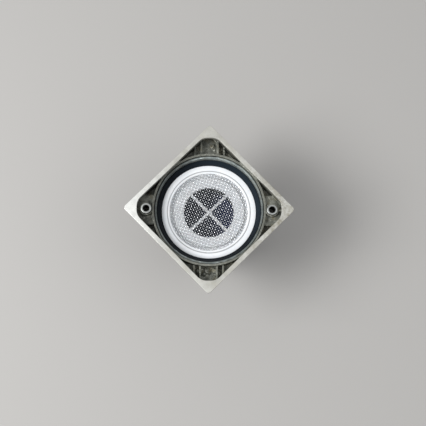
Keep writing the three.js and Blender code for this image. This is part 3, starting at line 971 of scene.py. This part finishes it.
def build_strainer():
    low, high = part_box("strainer_mesh")
    woven = woven_disc(high[0] - 0.4 * MM, MESH_PITCH, MESH_WIRE, (low[2] + high[2]) / 2, MESH_TURN)
    stand_for("strainer_mesh", woven, WIRE)
    turn_cad("strainer_ring", WHITE, 0.2 * MM)
    turn_cad("mesh_clamp_ring", WHITE, 0.25 * MM)


def build_insert_top():
    """The dish that holds the strainer, with crossed bars under the mesh."""
    dish = turned(rounded(outline("insert_top", facet=6, clear=10 * MM), 0.3 * MM))
    half = 1.7 * MM
    reach = 33 * MM
    foot, top = TOP - 34.8 * MM, TOP - 31.1 * MM
    cross = []
    for x, y in ((1, 0), (0, 1), (-1, 0), (0, -1)):
        cross.append((reach * x + half * y, reach * y - half * x))
        cross.append((reach * x - half * y, reach * y + half * x))
        cross.append((half * (x - y), half * (x + y)))
    bars = slab([cross], foot, top, 0.4 * MM)
    even_normals(stand_for("insert_top", united(dish, bars), WHITE))


# ---- Valve seat, hinge and flap ----

HINGE_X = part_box("hinge_pin")[0][0] / 2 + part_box("hinge_pin")[1][0] / 2
HINGE_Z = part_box("hinge_pin")[0][2] / 2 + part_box("hinge_pin")[1][2] / 2
HINGE = Matrix.Translation((HINGE_X, 0, HINGE_Z))
HINGE_BORE = 1.35 * MM
SEAT_FOOT = TOP - 68 * MM
FLAP_TOP = TOP - 70.2 * MM
FLAP_FOOT = TOP - 72.6 * MM
LOWER_HEAD = TOP - 72.9 * MM  # top of the rivet's head under the flap
UPPER_HEAD = TOP - 68 * MM  # foot of the rivet's head over the flap's seal


def hinge_bore():
    return moved(rod(HINGE_BORE, -16 * MM, 16 * MM), HINGE)


def build_seat():
    """The ring that the flap closes on, with two ears that carry the hinge pin."""
    seat = turned(rounded(outline("valve_seat", facet=12), 0.5 * MM))
    half = 3.3 * MM
    thickness = 3 * MM
    top = SEAT_FOOT + MM
    side = [(HINGE_X + half, top)] + arc((HINGE_X, HINGE_Z), half, 0, -180, 16) + [(HINGE_X - half, top)]
    ears = []
    for start in (6.3 * MM, -9.3 * MM):
        ears.append(moved(slab([side], -start - thickness, -start, 0.35 * MM), SIDEWAYS))
    even_normals(stand_for("valve_seat", without(united(seat, *ears), hinge_bore()), FILMED_AND_SHADED))


def build_pin():
    """A plain pin with a groove near each end."""
    low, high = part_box("hinge_pin")
    radius = (high[0] - low[0]) / 2
    half = high[1]
    groove = half - 1.6 * MM
    width = 0.6 * MM
    neck = 0.72 * radius
    profile = [(0, -half), (radius, -half)]
    for side in (-1, 1):
        edges = sorted((side * groove, side * (groove - width)))
        profile += [(radius, edges[0]), (neck, edges[0]), (neck, edges[1]), (radius, edges[1])]
    profile += [(radius, half), (0, half)]
    pin = moved(turned(rounded(profile, 0.2 * MM), 48), HINGE @ ALONG_Y)
    stand_for("hinge_pin", pin, STEEL)


def build_spring():
    """A coil round the pin, with one leg on the seat and one that swings with the flap."""
    low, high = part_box("return_spring")
    wire = 0.38 * MM
    mean = (high[0] - low[0]) / 2 - wire
    start, end = low[1] + wire, high[1] - wire
    turns = 4.75
    steps = 120
    coil = []
    for i in range(steps + 1):
        angle = 2 * math.pi * turns * i / steps - math.pi / 2
        along = start + (end - start) * i / steps
        coil.append((HINGE_X + mean * math.cos(angle), along, HINGE_Z + mean * math.sin(angle)))
    last = Vector(coil[-1])
    coil.append(tuple(last + Vector((-MM, 0, 0.2 * MM))))
    coil.append((last.x - 2.6 * MM, last.y, SEAT_FOOT - wire))
    stand_for("return_spring", wires([coil], wire), STEEL)
    below_plate = FLAP_FOOT - wire
    bend = (HINGE_X - 4 * MM, start, below_plate - 0.3 * MM)
    tip = (HINGE_X - 11 * MM, start, below_plate)
    leg = [coil[0], bend, tip]
    piece = add("return_spring_leg", wires([leg], wire), "flap")
    piece.data.materials.append(STEEL)


def build_flap():
    """A disc with two round ribs under it, and an arm out to its barrel on the hinge."""
    radius = -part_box("flap_plate")[0][0]
    bore = 1.7 * MM
    rib_foot = FLAP_FOOT - 0.7 * MM
    edge = 0.3 * MM
    profile = [(bore, FLAP_FOOT)]
    for inner, outer in ((8 * MM, 10 * MM), (27 * MM, 29 * MM)):
        profile += [(inner, FLAP_FOOT), (inner, rib_foot), (outer, rib_foot), (outer, FLAP_FOOT)]
    profile += [(radius, FLAP_FOOT), (radius, FLAP_TOP), (bore, FLAP_TOP)]
    disc = turned(rounded(profile, edge))
    half = 5.2 * MM
    start = radius - 4 * MM
    arm_outline = [(start, -half), (HINGE_X, -half), (HINGE_X, half), (start, half)]
    arm = slab([arm_outline], FLAP_FOOT + 0.01 * MM, FLAP_TOP - 0.2 * MM, edge)
    barrel = moved(rod(2.4 * MM, -5.7 * MM, 5.7 * MM, 0.4 * MM), HINGE)
    even_normals(stand_for("flap_plate", without(united(disc, arm, barrel), hinge_bore()), FILMED_AND_SHADED))


def build_rivet():
    """A rivet with a domed head at each end."""
    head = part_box("flap_rivet")[1][1]
    height = 1.1 * MM
    shank = 1.4 * MM
    foot = dome(head, -LOWER_HEAD, height)
    cap = dome(head, UPPER_HEAD, height)
    profile = [(r, -z) for r, z in reversed(foot)]
    profile += [(shank, LOWER_HEAD), (shank, UPPER_HEAD)] + cap
    stand_for("flap_rivet", turned(profile, 64), DULL_STEEL)


build_strainer()
build_insert_top()
turn_cad("insert_tube", FILMED_AND_SHADED, 0.4 * MM)
build_seat()
build_pin()
build_spring()
build_flap()
turn_cad("flap_seal", FLAP_RUBBER, 0.5 * MM)
build_rivet()


# ---- Stage ----

def build_stage():
    bm = bmesh.new()
    bmesh.ops.create_grid(bm, x_segments=1, y_segments=1, size=4)
    mesh = bpy.data.meshes.new("floor")
    bm.to_mesh(mesh)
    bm.free()
    floor = bpy.data.objects.new("floor", mesh)
    bpy.context.scene.collection.objects.link(floor)
    paint = Paint("floor", (0.43, 0.415, 0.395), 0.7)
    mesh.materials.append(paint.material)


def area_light(name, place, target, size, power, color=(1, 1, 1)):
    light = bpy.data.lights.new(name, "AREA")
    light.size = size
    light.energy = power
    light.color = color
    lamp = bpy.data.objects.new(name, light)
    lamp.location = place
    lamp.rotation_euler = (Vector(target) - Vector(place)).to_track_quat("-Z", "Y").to_euler()
    bpy.context.scene.collection.objects.link(lamp)


def build_lights():
    world = bpy.data.worlds.new("studio")
    world.use_nodes = True
    world.node_tree.nodes["Background"].inputs["Color"].default_value = (0.95, 0.97, 1.0, 1)
    world.node_tree.nodes["Background"].inputs["Strength"].default_value = 0.55
    bpy.context.scene.world = world
    target = (0, 0, TOP)
    area_light("key", (-0.75, -1.05, 1.6), target, 1.0, 35, (0.98, 0.99, 1))
    area_light("fill", (0.9, 0.7, 1.7), target, 1.4, 6, (0.96, 0.98, 1))


AZIMUTH = math.radians(38)
ELEVATION = math.radians(80)
DISTANCE = 1.3
FRAME_WIDTH = 0.5246  # width of the view, at the rim
AIM_RIGHT = 4.6 * MM
AIM_DOWN = 5.8 * MM
ROLL = math.radians(7.6)


def build_camera():
    camera = bpy.data.cameras.new("camera")
    camera.sensor_width = 36
    camera.lens = camera.sensor_width * DISTANCE / FRAME_WIDTH
    back = Vector((
        math.sin(AZIMUTH) * math.cos(ELEVATION),
        -math.cos(AZIMUTH) * math.cos(ELEVATION),
        math.sin(ELEVATION),
    ))
    rotation = back.to_track_quat("Z", "Y").to_matrix()
    rotation = rotation @ Matrix.Rotation(ROLL, 3, "Z")
    right, up = rotation.col[0], rotation.col[1]
    target = Vector((0, 0, TOP)) + right * AIM_RIGHT - up * AIM_DOWN
    holder = bpy.data.objects.new("camera", camera)
    holder.matrix_world = Matrix.Translation(target + back * DISTANCE) @ rotation.to_4x4()
    bpy.context.scene.collection.objects.link(holder)
    bpy.context.scene.camera = holder


build_stage()
build_lights()
build_camera()
bpy.context.scene.view_settings.view_transform = "Standard"


def write_sizes():
    import json


write_sizes()
